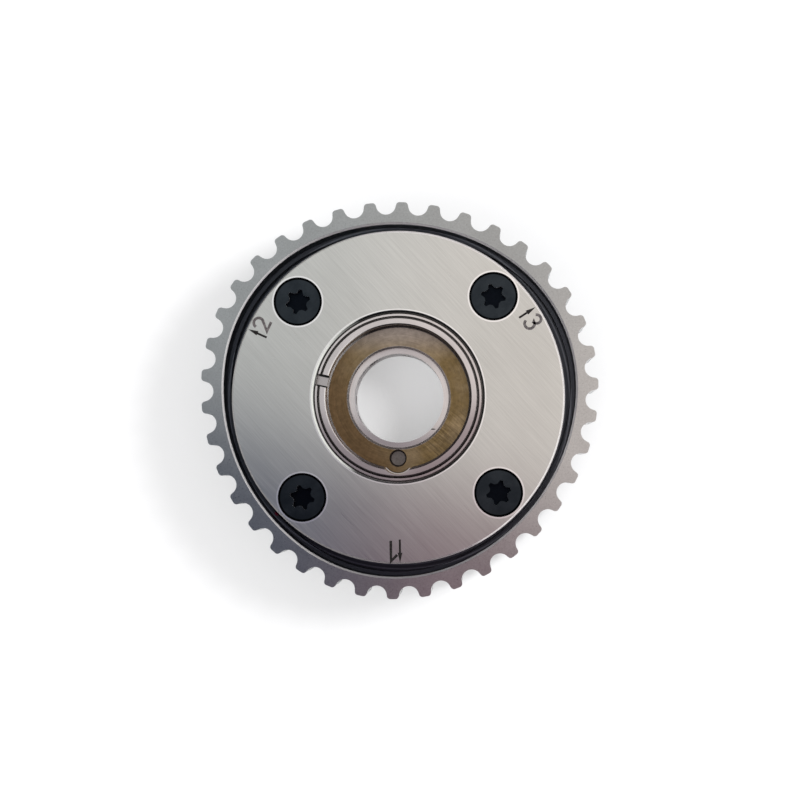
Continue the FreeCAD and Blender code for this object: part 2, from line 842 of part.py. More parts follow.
def vane_points(half_angle, middle_angle):
    inner = HUB_RADIUS - OVERCUT
    outer = CHAMBER_RADIUS + 2.0 * OVERCUT
    return [
        polar(inner, middle_angle - half_angle),
        polar(outer, middle_angle - half_angle),
        polar(outer, middle_angle + half_angle),
        polar(inner, middle_angle + half_angle),
    ]


def add_vanes(body):
    thickness = ROTOR_TOP - ROTOR_BOTTOM
    wide = new_sketch(body, "wide_vane_outline", "XY_Plane", ROTOR_BOTTOM)
    draw_polygon(wide, vane_points(WIDE_VANE_ANGLE / 2.0, as_size(0.0)))
    pad(body, "wide_vane", wide, thickness)
    narrow = new_sketch(body, "vane_outline", "XY_Plane", ROTOR_BOTTOM)
    draw_polygon(narrow, vane_points(S["vane_angle"] / 2.0, as_size(QUARTER_TURN)))
    vane = pad(body, "vane", narrow, thickness)
    repeat(body, "vanes", vane, WEB_COUNT - 1, 2.0 * QUARTER_TURN)
    ring = new_sketch(body, "vane_tip_outline", "XY_Plane", ROTOR_TOP)
    draw_circle(ring, VANE_TIP_RADIUS)
    draw_circle(ring, VANE_TIP_RADIUS + 4.0 * OVERCUT)
    pocket(body, "vane_tips", ring, thickness)


def add_seal_grooves(body):
    half = S["seal_groove_width"] / 2.0
    outer = VANE_TIP_RADIUS + OVERCUT
    sketch = new_sketch(body, "seal_groove_outline", "XY_Plane", ROTOR_TOP)
    draw_polygon(sketch, [
        (VANE_GROOVE_FLOOR, -half),
        (outer, -half),
        (outer, half),
        (VANE_GROOVE_FLOOR, half),
    ])
    groove = pocket(body, "seal_groove", sketch, ROTOR_TOP - ROTOR_BOTTOM)
    repeat(body, "seal_grooves", groove, WEB_COUNT)


def add_hub_cuts(body):
    """The dowel hole with its relief, and the bore of the lock pin."""
    dowel = polar(DOWEL_CIRCLE, S["dowel_angle"] - LOCK_ANGLE)
    relief = new_sketch(body, "dowel_relief_outline", "XY_Plane", NOSE_TOP)
    draw_circle(relief, S["dowel_relief_radius"], dowel)
    pocket(body, "dowel_relief", relief, S["recess_depth"])
    hole = new_sketch(body, "dowel_hole_outline", "XY_Plane", NOSE_TOP)
    draw_circle(hole, S["dowel_radius"], dowel)
    pocket(body, "dowel_hole", hole, NOSE_TOP)
    lock = new_sketch(body, "lock_bore_outline", "XY_Plane", ROTOR_TOP)
    draw_circle(lock, LOCK_BORE_RADIUS, (LOCK_CIRCLE, 0.0))
    body.Tip = pocket(body, "lock_bore", lock, ROTOR_TOP - ROTOR_BOTTOM)


def port(name, level, angle):
    """A radial oil drilling from the bore to a chamber."""
    drilling = DOC.addObject("Part::Cylinder", name + "_drilling")
    bind(drilling, "Radius", S["port_radius"])
    bind(drilling, "Height", HUB_RADIUS + OVERCUT - (S["bore_radius"] - OVERCUT))
    across = FreeCAD.Rotation(Vector(0, 1, 0), 90)
    drilling.Placement = FreeCAD.Placement(Vector(), across)
    bind(drilling, "Placement.Base.x", S["bore_radius"] - OVERCUT)
    bind(drilling, "Placement.Base.z", level)
    return turned(name, drilling, angle)


def rotor_ports():
    """Two drillings for each vane, one row for each side of the vanes."""
    ports = []
    middle = (RECESS_FLOOR - S["bore_step_depth"]) / 2.0
    for index in range(WEB_COUNT):
        vane = WIDE_VANE_ANGLE if index == 0 else S["vane_angle"]
        offset = vane / 2.0 + S["port_edge_angle"]
        number = str(index + 1)
        upper = middle + S["port_row_spacing"] / 2.0
        lower = middle - S["port_row_spacing"] / 2.0
        centre = index * QUARTER_TURN
        ports.append(port("advance_port_" + number, upper, centre + offset))
        ports.append(port("retard_port_" + number, lower, centre - offset))
    return ports


def hub_slot():
    """A straight slot across the hub's front ring."""
    low = S["recess_radius"] - OVERCUT
    high = SHOULDER_RADIUS + OVERCUT
    bottom = NOSE_TOP - S["slot_depth"]
    slot = bar("hub_slot_bar", low, high, S["slot_width"], bottom, NOSE_TOP + OVERCUT)
    return turned("hub_slot", slot, S["slot_angle"] - LOCK_ANGLE)


def vane_edges(shape):
    """Each upright edge to round, with its radius: the vanes' roots, and the wide vane's tip."""
    groove = S["seal_groove_width"].value
    chosen = []
    for number, edge in enumerate(shape.Edges, start=1):
        if len(edge.Vertexes) != 2 or edge.Length < S["core_depth"].value / 2.0:
            continue
        start, end = edge.firstVertex().Point, edge.lastVertex().Point
        if math.hypot(start.x - end.x, start.y - end.y) > 0.001:
            continue
        distance = math.hypot(start.x, start.y)
        on_wide_vane = start.x > abs(start.y) > groove
        if abs(distance - HUB_RADIUS.value) < 0.01:
            fillet = S["vane_fillet"].value
        elif on_wide_vane and abs(distance - VANE_TIP_RADIUS.value) < 0.01:
            fillet = S["chamber_fillet"].value
        else:
            continue
        chosen.append((number, fillet, fillet))
    return chosen


def build_rotor():
    body = new_body("rotor_blank")
    revolve(body, "hub", hub_profile())
    add_vanes(body)
    add_seal_grooves(body)
    add_hub_cuts(body)
    DOC.recompute()
    rounded = DOC.addObject("Part::Fillet", "rotor_rounded")
    rounded.Base = body
    rounded.Edges = vane_edges(body.Shape)
    openings = fuse("rotor_openings", rotor_ports() + [hub_slot()])
    return place(cut("rotor", rounded, openings), angle=LOCK_ANGLE)


def build_vane_seal(number):
    """A bar in a vane's groove, rounded to run on the chamber wall, and its leaf spring."""
    angle = LOCK_ANGLE + (number - 1) * QUARTER_TURN
    name = "vane_seal_" + str(number)
    low = ROTOR_BOTTOM + S["seal_end_gap"]
    high = ROTOR_TOP - S["seal_end_gap"]
    back = VANE_TIP_RADIUS - S["seal_height"]
    blank = bar(name + "_bar", back, CHAMBER_RADIUS + OVERCUT, S["seal_width"], low, high)
    wall = cylinder(name + "_wall", CHAMBER_RADIUS - S["running_gap"], low, high)
    seal = place(common(name, [blank, wall]), angle=angle)
    spring = leaf_spring("vane_seal_spring_" + str(number), VANE_GROOVE_FLOOR, back, angle)
    return [seal, spring]


def build_dowel_pin():
    body = new_body("dowel_pin")
    chamfer = S["dowel_chamfer"]
    radius = S["dowel_radius"]
    bottom = -S["dowel_reach"]
    top = RECESS_FLOOR - S["dowel_drop"]
    revolve(body, "dowel_pin_shape", [
        (0.0, bottom),
        (radius, bottom),
        (radius, top - chamfer),
        (radius - chamfer, top),
        (0.0, top),
    ])
    x, y = polar(DOWEL_CIRCLE, S["dowel_angle"])
    return place(body, x, y)


PIN_BOTTOM = ROTOR_BOTTOM + S["lock_pin_rest"]
PIN_TOP = PIN_BOTTOM + S["lock_pin_length"]
SPRING_BOTTOM = PIN_BOTTOM + S["lock_pin_floor"]
SPRING_TOP = ROTOR_TOP - S["spring_seat_thickness"]


def build_lock_pin():
    """The lock pin: a cup, open to the front for its spring, with a chamfered nose."""
    body = new_body("lock_pin")
    radius = S["lock_pin_radius"]
    cup = S["lock_pin_cup_radius"]
    nose = S["lock_pin_chamfer"]
    revolve(body, "lock_pin_shape", [
        (0.0, PIN_BOTTOM),
        (radius - nose, PIN_BOTTOM),
        (radius, PIN_BOTTOM + nose),
        (radius, PIN_TOP),
        (cup, PIN_TOP),
        (cup, SPRING_BOTTOM),
        (0.0, SPRING_BOTTOM),
    ])
    x, y = polar(LOCK_CIRCLE, LOCK_ANGLE)
    return place(body, x, y)


def build_lock_spring():
    wire = S["spring_wire_radius"]
    coil = S["lock_pin_cup_radius"] - S["spring_coil_gap"] - wire
    gap = S["seat_clearance"]
    length = SPRING_TOP - SPRING_BOTTOM - 2.0 * (wire + gap)
    helix = DOC.addObject("Part::Helix", "lock_spring_line")
    bind(helix, "Radius", coil)
    bind(helix, "Height", length)
    bind(helix, "Pitch", length / S["spring_turns"])
    section = DOC.addObject("Part::RegularPolygon", "lock_spring_wire")
    section.Polygon = 4
    bind(section, "Circumradius", wire)
    upright = FreeCAD.Rotation(Vector(1, 0, 0), 90)
    section.Placement = FreeCAD.Placement(Vector(), upright)
    bind(section, "Placement.Base.x", coil)
    spring = DOC.addObject("Part::Sweep", "lock_spring")
    spring.Sections = [section]
    spring.Spine = (helix, ["Edge1"])
    spring.Solid = True
    spring.Frenet = True
    x, y = polar(LOCK_CIRCLE, LOCK_ANGLE)
    return place(spring, x, y, SPRING_BOTTOM + wire + gap)


def build_lock_spring_seat():
    body = new_body("lock_spring_seat")
    vent = S["spring_seat_vent_radius"]
    revolve(body, "lock_spring_seat_shape", [
        (vent, SPRING_TOP),
        (LOCK_BORE_RADIUS, SPRING_TOP),
        (LOCK_BORE_RADIUS, ROTOR_TOP),
        (vent, ROTOR_TOP),
    ])
    x, y = polar(LOCK_CIRCLE, LOCK_ANGLE)
    return place(body, x, y)


def build_all():
    nodes = [build_toothed_wheel(), build_cover_plate(), build_rear_plate(), build_rotor()]
    for number in range(1, WEB_COUNT + 1):
        nodes.append(build_screw(number))
        nodes.extend(build_web_seal(number))
        nodes.extend(build_vane_seal(number))
    nodes.append(build_dowel_pin())
    nodes.append(build_lock_pin())
    nodes.append(build_lock_spring())
    nodes.append(build_lock_spring_seat())
    nodes.append(build_lock_bush())
    return nodes


def check_all(nodes):
    """Stop if any object failed, or if a piece has no sound solid."""
    for item in DOC.Objects:
        if "Invalid" in item.State or "Error" in item.State:
            raise RuntimeError(item.Name + " did not build")
    for node in nodes:
        if node.Shape.isNull() or not node.Shape.isValid():
            raise RuntimeError(node.Name + " has no valid shape")
        if len(node.Shape.Solids) != 1:
            raise RuntimeError(node.Name + " is not one solid")


def write_all(nodes):
    os.makedirs("parts", exist_ok=True)
    for node in nodes:
        node.Label = node.Name
        node.Shape.exportStep(os.path.join("parts", node.Label + ".step"))


NODES = build_all()
DOC.recompute()
check_all(NODES)
write_all(NODES)
print("pieces:", len(NODES))
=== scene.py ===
import json
import math

import bmesh
import bpy
from mathutils import Matrix, Vector


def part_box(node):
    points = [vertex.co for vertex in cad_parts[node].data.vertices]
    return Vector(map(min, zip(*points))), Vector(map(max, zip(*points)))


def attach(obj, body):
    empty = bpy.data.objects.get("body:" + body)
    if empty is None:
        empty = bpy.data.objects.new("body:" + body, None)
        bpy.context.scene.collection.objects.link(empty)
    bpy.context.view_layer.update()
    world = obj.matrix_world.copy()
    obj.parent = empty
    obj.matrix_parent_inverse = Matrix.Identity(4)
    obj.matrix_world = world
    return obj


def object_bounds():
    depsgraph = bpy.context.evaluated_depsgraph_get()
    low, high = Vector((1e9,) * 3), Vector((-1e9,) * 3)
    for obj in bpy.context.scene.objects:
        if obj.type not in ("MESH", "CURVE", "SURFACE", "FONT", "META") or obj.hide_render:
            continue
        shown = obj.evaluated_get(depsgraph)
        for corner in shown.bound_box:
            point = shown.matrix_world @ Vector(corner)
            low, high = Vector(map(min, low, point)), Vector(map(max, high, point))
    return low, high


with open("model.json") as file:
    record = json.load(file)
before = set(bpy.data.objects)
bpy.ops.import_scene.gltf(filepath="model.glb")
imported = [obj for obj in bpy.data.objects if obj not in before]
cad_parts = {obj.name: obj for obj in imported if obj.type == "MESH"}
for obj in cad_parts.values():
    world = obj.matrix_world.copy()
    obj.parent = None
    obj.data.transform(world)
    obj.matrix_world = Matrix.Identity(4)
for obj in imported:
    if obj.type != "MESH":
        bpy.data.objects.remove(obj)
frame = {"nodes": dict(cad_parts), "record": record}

# Looks of the cam phaser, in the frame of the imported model. Lengths are in metres, or in
# millimetres where it says so.

MM = 0.001
CAD_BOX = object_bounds()
SCENE = bpy.context.scene
NODES = frame["nodes"]

# Levels, radii and the first cover screw's place, read from the frame; the four screws stand a
# quarter turn apart
FRONT_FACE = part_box("cover_plate")[1].z
RIM_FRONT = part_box("toothed_wheel")[1].z
PLATE_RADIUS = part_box("cover_plate")[1].x
NOSE_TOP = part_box("rotor")[1].z
SCREW_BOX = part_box("cover_screw_1")
SCREW_TOP = SCREW_BOX[1].z
SCREW_CENTRE = (SCREW_BOX[0] + SCREW_BOX[1]) / 2
SCREW_ANGLE = math.atan2(SCREW_CENTRE.y, SCREW_CENTRE.x)
SCREW_CIRCLE = math.hypot(SCREW_CENTRE.x, SCREW_CENTRE.y)

# Where the cover plate's looks change: painted highlight rings beside its openings, a painted shadow
# line in the gap round the hub, and a painted highlight on the outer edge. Two lengths are the start
# and the end of a change.
BORE_RING = (20.93 * MM, 21.2 * MM)
HOLE_RING = (5.85 * MM, 6.22 * MM)
GAP_LINE = (20.42 * MM, 20.78 * MM)
PLATE_EDGE = (PLATE_RADIUS - 0.5 * MM, PLATE_RADIUS - 0.4 * MM)

# The toothed wheel's: the groove's outer edge, two painted highlight bands and a dab of paint in the
# groove, with its angle in degrees
RIM_EDGE_RADIUS = 43.75 * MM
GROOVE_HIGHLIGHT_BANDS = ((40.45 * MM, 40.8 * MM), (41.55 * MM, 41.9 * MM))
DAB_ANGLE = 224.0
DAB_RADIUS = 40.9 * MM
DAB_EDGE = (0.9 * MM, 0.2 * MM)

# The rotor hub's: recess, ledge round the bore, relief beside the dowel hole, notch and slot, with
# the angles of the relief, the notch and the slot in degrees
RECESS_FLOOR = NOSE_TOP - 5.6 * MM
RECESS_WALL = (16.5 * MM, 17.8 * MM)
LINED_SPOT = (12 * MM, -10 * MM, RECESS_FLOOR)
LINED_REACH = (11 * MM, 3 * MM)
LEDGE_LEVEL = NOSE_TOP - 7.6 * MM
BORE_EDGE_RADIUS = 12.6 * MM
RELIEF_ANGLE = 270
RELIEF_CENTRE = 14.8 * MM
RELIEF_DARK_ARC = (3.28 * MM, 3.5 * MM)
RELIEF_PALE_ARC = (3.5 * MM, 3.75 * MM)
NOTCH_ANGLE = 318.1
NOTCH_RADIUS = 11.2 * MM
NOTCH_EDGE = (0.4 * MM, 0.2 * MM)
NOTCH_STRETCH = (0.5, 2.2, 0)
SLOT_ANGLE = 168.5
SLOT_FLOOR = NOSE_TOP - 3.5 * MM
SLOT_START = (17.0 * MM, 17.2 * MM)
SLOT_HALF_WIDTH = 1.5 * MM
SLOT_LINE = (SLOT_HALF_WIDTH - 0.55 * MM, SLOT_HALF_WIDTH - 0.4 * MM)

# The cover screws': the rim of their heads, in painted shade, and the mouth of their sockets, where
# a painted glint goes
SCREW_RIM = (5.1 * MM, 5.3 * MM)
SOCKET_MOUTH = (3.4 * MM, 3.2 * MM)

# The photograph's frame and its view
PHOTO_SIZE = 800
PIXELS_PER_MM = 4.168
PLATE_CENTRE_PIXEL = (397.8, 396.75)
CAMERA_DISTANCE = 0.48
CAMERA_TILT = math.radians(3.2)
CAMERA_SIDE = math.radians(315)
CAMERA_ROLL = math.radians(0.7)
SENSOR_WIDTH = 36.0
CLIP_START = 0.01
CLIP_END = 20.0

# The surroundings: the light of the world and the floor, and cards that only reflections see
WHITE = (1, 1, 1, 1)
WORLD_LIGHT = 0.75
FLOOR_HALF_SIZE = 3.0
FLOOR_COLOUR = (0.88, 0.88, 0.89, 1)
FLOOR_GLOW = 0.4
CARD_HEIGHT = 0.1
CARD_RADIUS = 0.2
CARD_CORNERS = 12
CARD_UPPER_LEFT = (0.72, 0.725, 0.735)
CARD_UPPER_RIGHT = (0.93, 0.86, 0.83)
CARD_LOWER_RIGHT = (0.27, 0.175, 0.21)
CARD_LOWER_LEFT = (0.13, 0.145, 0.205)
SIDE_CARD_FOOT = -8 * MM
SIDE_CARD_STEPS = 12


def direction(angle, tilt=math.pi / 2):
    """The unit vector at an angle about Z, tilted away from +Z."""
    flat = Vector((math.cos(angle), math.sin(angle), 0.0))
    return flat * math.sin(tilt) + Vector((0, 0, 1)) * math.cos(tilt)


def build_camera():
    """The photograph's camera: nearly overhead, leaning to the lower right."""
    back = direction(CAMERA_SIDE, CAMERA_TILT)
    right = Vector((0, 1, 0)).cross(back).normalized()
    right = Matrix.Rotation(CAMERA_ROLL, 3, back) @ right
    up = back.cross(right)
    half = PHOTO_SIZE / 2
    metres = MM / PIXELS_PER_MM
    aim = Vector((0, 0, FRONT_FACE))
    aim += right * (half - PLATE_CENTRE_PIXEL[0]) * metres
    aim -= up * (half - PLATE_CENTRE_PIXEL[1]) * metres
    data = bpy.data.cameras.new("photo_camera")
    data.sensor_width = SENSOR_WIDTH
    data.lens = SENSOR_WIDTH * PIXELS_PER_MM * CAMERA_DISTANCE / MM / PHOTO_SIZE
    data.clip_start = CLIP_START
    data.clip_end = CLIP_END
    camera = bpy.data.objects.new("photo_camera", data)
    turn = Matrix((right, up, back)).transposed().to_4x4()
    camera.matrix_world = Matrix.Translation(aim + back * CAMERA_DISTANCE) @ turn
    SCENE.collection.objects.link(camera)
    SCENE.camera = camera


# Light and surroundings


def area_light(name, place, size, power):
    """A round lamp that points at the middle of the part and isn't seen in the metal."""
    data = bpy.data.lights.new(name, "AREA")
    data.shape = "DISK"
    data.size = size
    data.energy = power
    lamp = bpy.data.objects.new(name, data)
    lamp.location = place
    lamp.rotation_euler = Vector(place).to_track_quat("Z", "Y").to_euler()
    lamp.visible_glossy = False
    SCENE.collection.objects.link(lamp)


def build_world():
    """White where the camera, a reflection or glass looks, and a softer level for the light."""
    world = bpy.data.worlds.new("studio")
    SCENE.world = world
    world.use_nodes = True
    tree = world.node_tree
    tree.nodes.clear()
    path = tree.nodes.new("ShaderNodeLightPath")
    camera_or_glossy = tree.nodes.new("ShaderNodeMath")
    camera_or_glossy.operation = "MAXIMUM"
    looked_at = tree.nodes.new("ShaderNodeMath")
    looked_at.operation = "MAXIMUM"
    white = tree.nodes.new("ShaderNodeBackground")
    soft = tree.nodes.new("ShaderNodeBackground")
    mix = tree.nodes.new("ShaderNodeMixShader")
    output = tree.nodes.new("ShaderNodeOutputWorld")
    white.inputs["Color"].default_value = WHITE
    white.inputs["Strength"].default_value = 1.0
    soft.inputs["Color"].default_value = WHITE
    soft.inputs["Strength"].default_value = WORLD_LIGHT
    tree.links.new(path.outputs["Is Camera Ray"], camera_or_glossy.inputs[0])
    tree.links.new(path.outputs["Is Glossy Ray"], camera_or_glossy.inputs[1])
    tree.links.new(camera_or_glossy.outputs[0], looked_at.inputs[0])
    tree.links.new(path.outputs["Is Transmission Ray"], looked_at.inputs[1])
    tree.links.new(looked_at.outputs[0], mix.inputs[0])
    tree.links.new(soft.outputs[0], mix.inputs[1])
    tree.links.new(white.outputs[0], mix.inputs[2])
    tree.links.new(mix.outputs[0], output.inputs["Surface"])


def build_floor():
    """A pale floor at the part's resting face, larger than any view."""
    mesh = bpy.data.meshes.new("studio_floor")
    half = FLOOR_HALF_SIZE
    level = CAD_BOX[0][2]
    corners = [(-half, -half, level), (half, -half, level), (half, half, level), (-half, half, level)]
    mesh.from_pydata(corners, [], [(0, 1, 2, 3)])
    floor = bpy.data.objects.new("studio_floor", mesh)
    SCENE.collection.objects.link(floor)
    material = bpy.data.materials.new("studio_floor")
    material.use_nodes = True
    tree = material.node_tree
    tree.nodes.clear()
    path = tree.nodes.new("ShaderNodeLightPath")
    share = tree.nodes.new("ShaderNodeMath")
    share.operation = "MULTIPLY"
    share.inputs[1].default_value = FLOOR_GLOW
    matte = tree.nodes.new("ShaderNodeBsdfDiffuse")
    matte.inputs["Color"].default_value = FLOOR_COLOUR
    glow = tree.nodes.new("ShaderNodeEmission")
    glow.inputs["Color"].default_value = WHITE
    mix = tree.nodes.new("ShaderNodeMixShader")
    output = tree.nodes.new("ShaderNodeOutputMaterial")
    tree.links.new(path.outputs["Is Camera Ray"], share.inputs[0])
    tree.links.new(share.outputs[0], mix.inputs[0])
    tree.links.new(matte.outputs[0], mix.inputs[1])
    tree.links.new(glow.outputs[0], mix.inputs[2])
    tree.links.new(mix.outputs[0], output.inputs["Surface"])
    mesh.materials.append(material)


def build_card(name, corners, faces):
    """A card that only reflections see, as a photographer sets round bright metal."""
    mesh = bpy.data.meshes.new(name)
    mesh.from_pydata(corners, [], faces)
    card = bpy.data.objects.new(name, mesh)
    SCENE.collection.objects.link(card)
    material = bpy.data.materials.new(name)
    material.use_nodes = True
    tree = material.node_tree
    tree.nodes.clear()
    glow = tree.nodes.new("ShaderNodeEmission")
    output = tree.nodes.new("ShaderNodeOutputMaterial")
    tree.links.new(glow.outputs[0], output.inputs["Surface"])
    mesh.materials.append(material)
    card.visible_camera = False
    card.visible_diffuse = False
    card.visible_shadow = False
    card.visible_transmission = False
    return tree, glow


def side_card(name, first, last, radius, top, colour):
    """An upright card bent round the part, between two azimuths in degrees."""
    corners = []
    for step in range(SIDE_CARD_STEPS + 1):
        turn = math.radians(first + (last - first) * step / SIDE_CARD_STEPS)
        corners.append((radius * math.cos(turn), radius * math.sin(turn), SIDE_CARD_FOOT))
        corners.append((radius * math.cos(turn), radius * math.sin(turn), top))
    faces = [(2 * k, 2 * k + 2, 2 * k + 3, 2 * k + 1) for k in range(SIDE_CARD_STEPS)]
    glow = build_card(name, corners, faces)[1]
    glow.inputs["Color"].default_value = (*colour, 1)


def mirrored(x, y):
    """The place on the overhead card that the camera sees in the front face at x, y in mm."""
    reach = 1.0 + CARD_HEIGHT / CAMERA_DISTANCE
    lens = direction(CAMERA_SIDE, CAMERA_TILT) * CAMERA_DISTANCE
    return Vector((x * MM, y * MM, 0)) * reach - lens * (reach - 1.0)


def card_ramp(tree, first, last):
    """A smooth ramp over the overhead card, between two places of the front face in mm."""
    first = mirrored(*first)
    last = mirrored(*last)
    along = (last - first).normalized()
    place = tree.nodes.new("ShaderNodeTexCoord")
    dot = tree.nodes.new("ShaderNodeVectorMath")
    dot.operation = "DOT_PRODUCT"
    dot.inputs[1].default_value = (along.x, along.y, 0)
    ramp = tree.nodes.new("ShaderNodeMapRange")
    ramp.interpolation_type = "SMOOTHSTEP"
    ramp.inputs["From Min"].default_value = first.dot(along)
    ramp.inputs["From Max"].default_value = last.dot(along)
    tree.links.new(place.outputs["Object"], dot.inputs[0])
    tree.links.new(dot.outputs["Value"], ramp.inputs["Value"])
    return ramp.outputs["Result"]


def card_mix(tree, share, first, second):
    """Two colours, or sockets that give them, mixed by a share."""
    mix = tree.nodes.new("ShaderNodeMix")
    mix.data_type = "RGBA"
    tree.links.new(share, mix.inputs["Factor"])
    for source, socket in ((first, mix.inputs[6]), (second, mix.inputs[7])):
        if isinstance(source, tuple):
            socket.default_value = (*source, 1)
        else:
            tree.links.new(source, socket)
    return mix.outputs[2]


def build_cards():
    """A graded card overhead, a dark side to the left and a bright one to the right."""
    centre = mirrored(0, 0)
    level = FRONT_FACE + CARD_HEIGHT
    overhead = []
    for corner in range(CARD_CORNERS):
        reach = direction(2 * math.pi * corner / CARD_CORNERS) * CARD_RADIUS
        overhead.append((centre.x + reach.x, centre.y + reach.y, level))
    tree, glow = build_card("overhead_card", overhead, [tuple(range(CARD_CORNERS))])
    rightward = card_ramp(tree, (-34, 0), (34, 0))
    upper = card_mix(tree, rightward, CARD_UPPER_LEFT, CARD_UPPER_RIGHT)
    leftward = card_ramp(tree, (12, -25), (-26, -22))
    lower = card_mix(tree, leftward, CARD_LOWER_RIGHT, CARD_LOWER_LEFT)
    downward = card_ramp(tree, (-1, -7), (-7, -27))
    tree.links.new(card_mix(tree, downward, upper, lower), glow.inputs["Color"])
    side_card("dark_card", 62, 298, radius=1.5, top=1.2, colour=(0.07, 0.07, 0.08))
    side_card("bright_card", -60, 55, radius=1.4, top=0.9, colour=(1.3, 1.29, 1.28))


def build_lights():
    area_light("key_light", (0.9, 0.35, 1.1), size=0.5, power=14.0)
    area_light("fill_light", (-0.5, -0.5, 1.2), size=0.9, power=5.0)


# Colours, as linear red, green and blue
GROUND_STEEL = (0.66, 0.67, 0.64)
PAINTED_HIGHLIGHT_STEEL = (1.0, 1.0, 0.99)
GAP_PAINTED_SHADE = (0.03, 0.03, 0.03)
SINTERED_STEEL = (0.43, 0.43, 0.435)
SINTERED_SHADED_SIDE = (0.41, 0.43, 0.43)
SINTERED_LIT_SIDE = (0.55, 0.55, 0.54)
MACHINED_EDGE_HIGHLIGHT = (0.85, 0.85, 0.86)
GROOVE_PAINTED_SHADE = (0.1, 0.11, 0.13)
GROOVE_PAINTED_HIGHLIGHT = (0.3, 0.33, 0.38)
RED_PAINT = (0.3, 0.008, 0.04)
TURNED_STEEL = (0.74, 0.705, 0.695)
TURNED_STEEL_SHADED = (0.43, 0.375, 0.385)
STAIN_DARK = (0.21, 0.15, 0.068)
STAIN_PALE = (0.31, 0.235, 0.135)
STAIN_PALER_TOP = (0.38, 0.325, 0.285)
STAIN_REDDISH = (0.185, 0.12, 0.06)
RELIEF_DARK = (0.03, 0.025, 0.02)
RELIEF_PALE = (0.75, 0.72, 0.7)
WALL_SHADE = (0.06, 0.05, 0.045)
LEDGE_SHADE = (0.3, 0.265, 0.29)
NOTCH_PAINTED_SHADE = (0.01, 0.01, 0.01)
SLOT_SHADE = (0.3, 0.28, 0.28)
SLOT_SIDE_SHADE = (0.02, 0.02, 0.02)
REAR_STEEL = (0.55, 0.55, 0.55)
REAR_STEEL_TURNED = (0.56, 0.56, 0.555)
SCREW_BLACK = (0.012, 0.015, 0.02)
COAT_DARK = (0.026, 0.033, 0.04)
COAT_PALE = (0.038, 0.047, 0.055)
SCREW_RIM_SHADE = (0.008, 0.01, 0.014)
SOCKET_SHADE = (0.006, 0.008, 0.012)
SOCKET_GLINT_STEEL = (0.75, 0.78, 0.82)
PIN_STEEL = (0.25, 0.235, 0.22)
PIN_DARK = (0.15, 0.138, 0.128)
PIN_PALE = (0.23, 0.212, 0.2)
SEAL_BROWN = (0.16, 0.12, 0.08)
SEAL_DARK = (0.13, 0.1, 0.065)
SEAL_PALE = (0.19, 0.145, 0.1)
SPRING_STEEL = (0.5, 0.5, 0.52)
INK = (0.02, 0.015, 0.016)
INK_DARK = (0.006, 0.005, 0.005)
INK_PALE = (0.03, 0.027, 0.027)
PALE_INK = (0.05, 0.035, 0.038)
PALE_INK_DARK = (0.04, 0.035, 0.036)
PALE_INK_PALE = (0.15, 0.135, 0.135)
INK_SPECULAR = 0.1


# Materials: small helpers that add and join shader nodes


